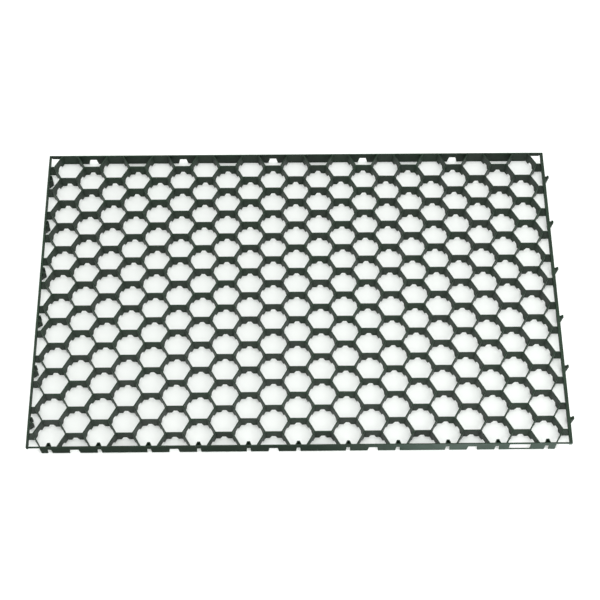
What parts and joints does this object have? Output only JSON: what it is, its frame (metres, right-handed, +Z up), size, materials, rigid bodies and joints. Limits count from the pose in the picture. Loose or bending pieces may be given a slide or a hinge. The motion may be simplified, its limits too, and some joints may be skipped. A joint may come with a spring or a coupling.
{
  "type": "grass paver grid",
  "caption": "Flat honeycomb panel of dark green moulded plastic for reinforcing grass or gravel, with notched walls, a top rail and hooks along one edge.",
  "frame": {"origin": "middle of the underside of the panel's bounding box, side hooks included", "axes": "+X along the width towards the hooked edge, +Y along the depth from the front edge to the back edge, +Z up"},
  "size_m": [0.9956, 0.626, 0.028],
  "materials": {
    "moulded_plastic": "dark green-black moulded plastic, slightly satin on the rails"
  },
  "bodies": {
    "root": {"left_side": "moulded_plastic", "left_middle": "moulded_plastic", "middle": "moulded_plastic", "right_middle": "moulded_plastic", "right_side": "moulded_plastic"}
  },
  "joints": []
}
